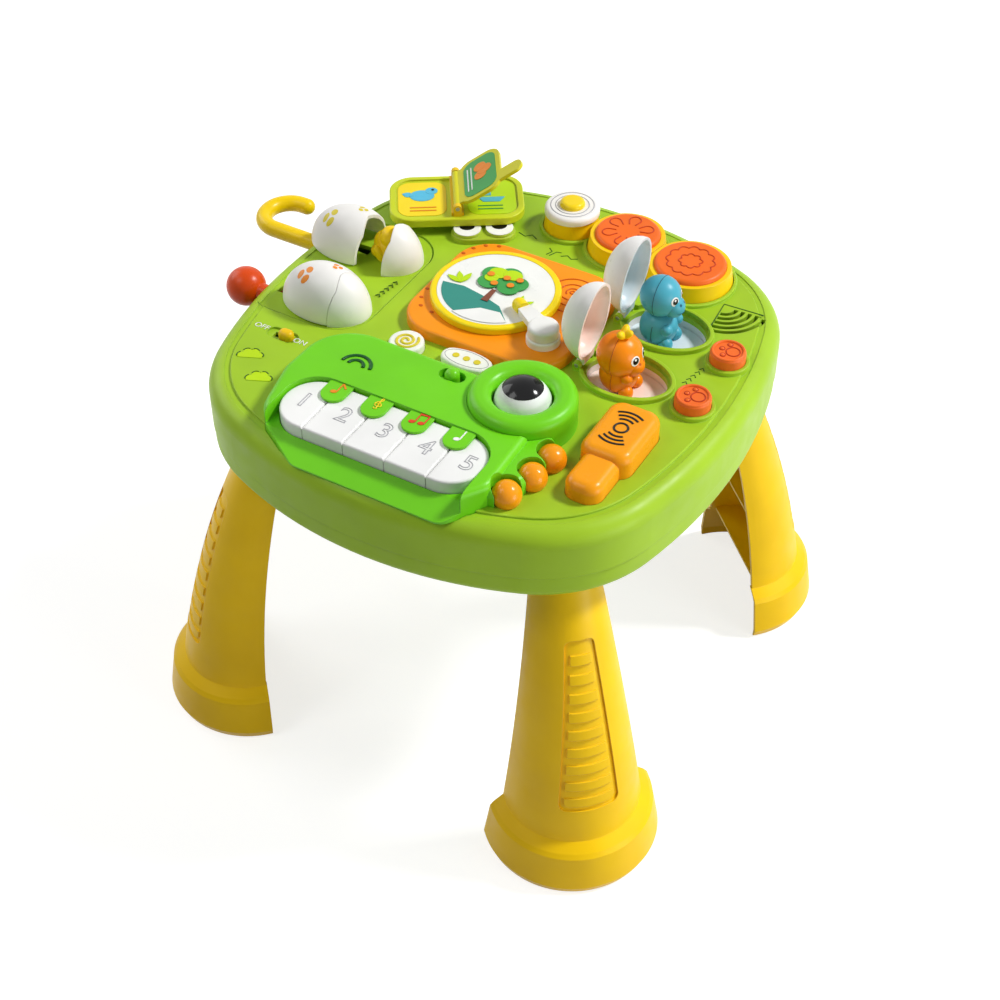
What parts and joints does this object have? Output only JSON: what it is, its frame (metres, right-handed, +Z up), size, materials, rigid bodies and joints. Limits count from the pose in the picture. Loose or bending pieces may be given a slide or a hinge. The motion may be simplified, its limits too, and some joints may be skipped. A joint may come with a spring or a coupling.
{
  "type": "musical activity table",
  "caption": "Low child's table with a rounded square deck on flared legs, carrying a small keyboard, turntable, drums, pop-up eggs, sliding eggs, buttons and a picture book.",
  "frame": {"origin": "on the floor under the middle of the whole part's box", "axes": "+X along the keyboard from key 1 to key 5, +Y from the keyboard to the back, +Z up"},
  "size_m": [0.4324, 0.3928, 0.3496],
  "materials": {
    "shell_green": "smooth moulded plastic",
    "leg_yellow": "smooth moulded plastic",
    "head_green": "smooth moulded plastic",
    "key_white": "smooth moulded plastic",
    "eye_white": "smooth moulded plastic",
    "toe_orange": "smooth moulded plastic",
    "button_orange": "smooth moulded plastic",
    "paw_orange": "smooth moulded plastic",
    "button_white": "smooth moulded plastic",
    "switch_yellow": "smooth moulded plastic",
    "cup_yellow": "smooth moulded plastic",
    "pad_orange": "smooth moulded plastic",
    "egg_white": "smooth moulded plastic",
    "egg_yolk": "smooth moulded plastic",
    "plinth_orange": "smooth moulded plastic",
    "platter_yellow": "smooth moulded plastic",
    "label_white": "smooth moulded plastic",
    "arm_white": "smooth moulded plastic",
    "shell_white": "smooth moulded plastic",
    "knob_red": "smooth moulded plastic",
    "hook_yellow": "smooth moulded plastic",
    "baby_yellow": "smooth moulded plastic",
    "lid_white": "smooth moulded plastic",
    "tray_white": "smooth moulded plastic",
    "dino_orange": "smooth moulded plastic",
    "dino_blue": "smooth moulded plastic",
    "book_lime": "smooth moulded plastic",
    "spine_yellow": "smooth moulded plastic",
    "page_green": "smooth moulded plastic",
    "frog_lime": "smooth moulded plastic",
    "steel": "plain metal",
    "door_green": "smooth moulded plastic",
    "cell_metal": "plain metal",
    "board_green": "smooth moulded plastic",
    "black_plastic": "smooth moulded plastic"
  },
  "bodies": {
    "table": {"upper_shell": "shell_green", "lower_shell": "shell_green", "leg_front_left": "leg_yellow", "leg_front_right": "leg_yellow", "leg_back_left": "leg_yellow", "leg_back_right": "leg_yellow", "keyboard_housing": "head_green", "eye_surround": "head_green", "toe_lights": "toe_orange", "turntable_plinth": "plinth_orange", "tone_arm_base": "arm_white", "egg_end_shells": "shell_white", "egg_babies": "baby_yellow", "book_base": "book_lime", "book_spine": "spine_yellow", "frog_eyes": "frog_lime", "pins_and_screws": "steel", "drum_egg_spring": "steel", "drum_middle_spring": "steel", "drum_right_spring": "steel", "battery_door": "door_green", "popup_wells": "door_green", "batteries": "cell_metal", "circuit_board": "board_green", "speaker_and_switches": "black_plastic"},
    "key_1": {"key_1": "key_white"},
    "key_2": {"key_2": "key_white"},
    "key_3": {"key_3": "key_white"},
    "key_4": {"key_4": "key_white"},
    "key_5": {"key_5": "key_white"},
    "eye_ball": {"eye_ball": "eye_white"},
    "mode_slider": {"mode_slider": "head_green"},
    "power_switch": {"power_switch": "switch_yellow"},
    "hammer_button": {"hammer_button": "button_orange"},
    "snail_button": {"snail_button": "button_white"},
    "bubble_button": {"bubble_button": "button_white"},
    "paw_button_front": {"paw_button_front": "paw_orange"},
    "paw_button_rear": {"paw_button_rear": "paw_orange"},
    "drum_egg": {"drum_egg_cup": "cup_yellow", "drum_egg_white": "egg_white", "drum_egg_yolk": "egg_yolk"},
    "drum_middle": {"drum_middle_cup": "cup_yellow", "drum_middle_pad": "pad_orange"},
    "drum_right": {"drum_right_cup": "cup_yellow", "drum_right_pad": "pad_orange"},
    "platter": {"turntable_platter": "platter_yellow", "turntable_label": "label_white"},
    "arm": {"tone_arm": "arm_white", "tone_arm_tip": "platter_yellow"},
    "egg_front": {"egg_front_shell": "shell_white", "egg_front_knob": "knob_red"},
    "egg_rear": {"egg_rear_shell": "shell_white", "egg_rear_hook": "hook_yellow"},
    "lid_front": {"popup_lid_front": "lid_white"},
    "dino_front": {"popup_dino_front": "dino_orange", "popup_floor_front": "tray_white"},
    "lid_rear": {"popup_lid_rear": "lid_white"},
    "dino_rear": {"popup_dino_rear": "dino_blue", "popup_floor_rear": "tray_white"},
    "page": {"book_page": "page_green"}
  },
  "joints": [
    {"name": "key_1_hinge", "type": "hinge", "parent": "table", "child": "key_1", "pos_m": [0.0135, -0.1132, 0.294], "axis": [1, 0, 0], "range_deg": [0, 4.42], "stiffness_Nm_per_rad": 0.4, "springref_deg": -3.44},
    {"name": "key_2_hinge", "type": "hinge", "parent": "table", "child": "key_2", "pos_m": [0.0135, -0.1132, 0.294], "axis": [1, 0, 0], "range_deg": [0, 4.42], "stiffness_Nm_per_rad": 0.4, "springref_deg": -3.44},
    {"name": "key_3_hinge", "type": "hinge", "parent": "table", "child": "key_3", "pos_m": [0.0135, -0.1132, 0.294], "axis": [1, 0, 0], "range_deg": [0, 4.42], "stiffness_Nm_per_rad": 0.4, "springref_deg": -3.44},
    {"name": "key_4_hinge", "type": "hinge", "parent": "table", "child": "key_4", "pos_m": [0.0135, -0.1132, 0.294], "axis": [1, 0, 0], "range_deg": [0, 4.42], "stiffness_Nm_per_rad": 0.4, "springref_deg": -3.44},
    {"name": "key_5_hinge", "type": "hinge", "parent": "table", "child": "key_5", "pos_m": [0.0135, -0.1132, 0.294], "axis": [1, 0, 0], "range_deg": [0, 4.42], "stiffness_Nm_per_rad": 0.4, "springref_deg": -3.44},
    {"name": "snail_button_press", "type": "slide", "parent": "table", "child": "snail_button", "axis": [0, 0, -1], "range_m": [0, 0.002], "stiffness_N_per_m": 300, "springref_m": -0.003},
    {"name": "bubble_button_press", "type": "slide", "parent": "table", "child": "bubble_button", "axis": [0, 0, -1], "range_m": [0, 0.002], "stiffness_N_per_m": 300, "springref_m": -0.003},
    {"name": "paw_button_front_press", "type": "slide", "parent": "table", "child": "paw_button_front", "axis": [0, 0, -1], "range_m": [0, 0.002], "stiffness_N_per_m": 300, "springref_m": -0.003},
    {"name": "paw_button_rear_press", "type": "slide", "parent": "table", "child": "paw_button_rear", "axis": [0, 0, -1], "range_m": [0, 0.002], "stiffness_N_per_m": 300, "springref_m": -0.003},
    {"name": "hammer_press", "type": "slide", "parent": "table", "child": "hammer_button", "axis": [0, 0, -1], "range_m": [0, 0.003], "stiffness_N_per_m": 400, "springref_m": -0.0045},
    {"name": "drum_egg_press", "type": "slide", "parent": "table", "child": "drum_egg", "axis": [0, 0, -1], "range_m": [0, 0.004], "stiffness_N_per_m": 400, "springref_m": -0.0045, "deforming": ["drum_egg_spring"]},
    {"name": "drum_middle_press", "type": "slide", "parent": "table", "child": "drum_middle", "axis": [0, 0, -1], "range_m": [0, 0.004], "stiffness_N_per_m": 400, "springref_m": -0.0045, "deforming": ["drum_middle_spring"]},
    {"name": "drum_right_press", "type": "slide", "parent": "table", "child": "drum_right", "axis": [0, 0, -1], "range_m": [0, 0.004], "stiffness_N_per_m": 400, "springref_m": -0.0045, "deforming": ["drum_right_spring"]},
    {"name": "eye_roll", "type": "hinge", "parent": "table", "child": "eye_ball", "pos_m": [0.0755, -0.067, 0.298], "axis": [1, 0, 0], "continuous": true},
    {"name": "mode_slide", "type": "slide", "parent": "table", "child": "mode_slider", "axis": [1, 0, 0], "range_m": [-0.004, 0.004]},
    {"name": "power_slide", "type": "slide", "parent": "table", "child": "power_switch", "axis": [1, 0, 0], "range_m": [-0.007, 0.001]},
    {"name": "platter_spin", "type": "hinge", "parent": "table", "child": "platter", "pos_m": [0, 0.0295, 0.293], "axis": [0, 0, 1], "continuous": true},
    {"name": "arm_swivel", "type": "hinge", "parent": "table", "child": "arm", "pos_m": [0.0525, 0.001, 0.293], "axis": [0, 0, 1], "range_deg": [-20, 20]},
    {"name": "egg_front_slide", "type": "slide", "parent": "table", "child": "egg_front", "axis": [-1, 0, 0], "range_m": [0, 0.022]},
    {"name": "egg_rear_slide", "type": "slide", "parent": "table", "child": "egg_rear", "axis": [-1, 0, 0], "range_m": [-0.022, 0]},
    {"name": "lid_front_hinge", "type": "hinge", "parent": "table", "child": "lid_front", "pos_m": [0.0814, 0.0035, 0.2892], "axis": [0, 1, 0], "range_deg": [0, 84], "stiffness_Nm_per_rad": 0.02, "springref_deg": -34.38},
    {"name": "lid_rear_hinge", "type": "hinge", "parent": "table", "child": "lid_rear", "pos_m": [0.0814, 0.062, 0.2892], "axis": [0, 1, 0], "range_deg": [0, 84], "stiffness_Nm_per_rad": 0.02, "springref_deg": -34.38},
    {"name": "dino_front_sink", "type": "slide", "parent": "table", "child": "dino_front", "axis": [0, 0, -1], "range_m": [0, 0.0225]},
    {"name": "dino_rear_sink", "type": "slide", "parent": "table", "child": "dino_rear", "axis": [0, 0, -1], "range_m": [0, 0.0225]},
    {"name": "page_hinge", "type": "hinge", "parent": "table", "child": "page", "pos_m": [-0.0805, 0.112, 0.304], "axis": [0.5446, -0.8387, 0], "range_deg": [-35, 149]}
  ],
  "couplings": [
    {"joint": "dino_front_sink", "follows": "lid_front_hinge", "m_per_rad": 0.015347},
    {"joint": "dino_rear_sink", "follows": "lid_rear_hinge", "m_per_rad": 0.015347}
  ]
}
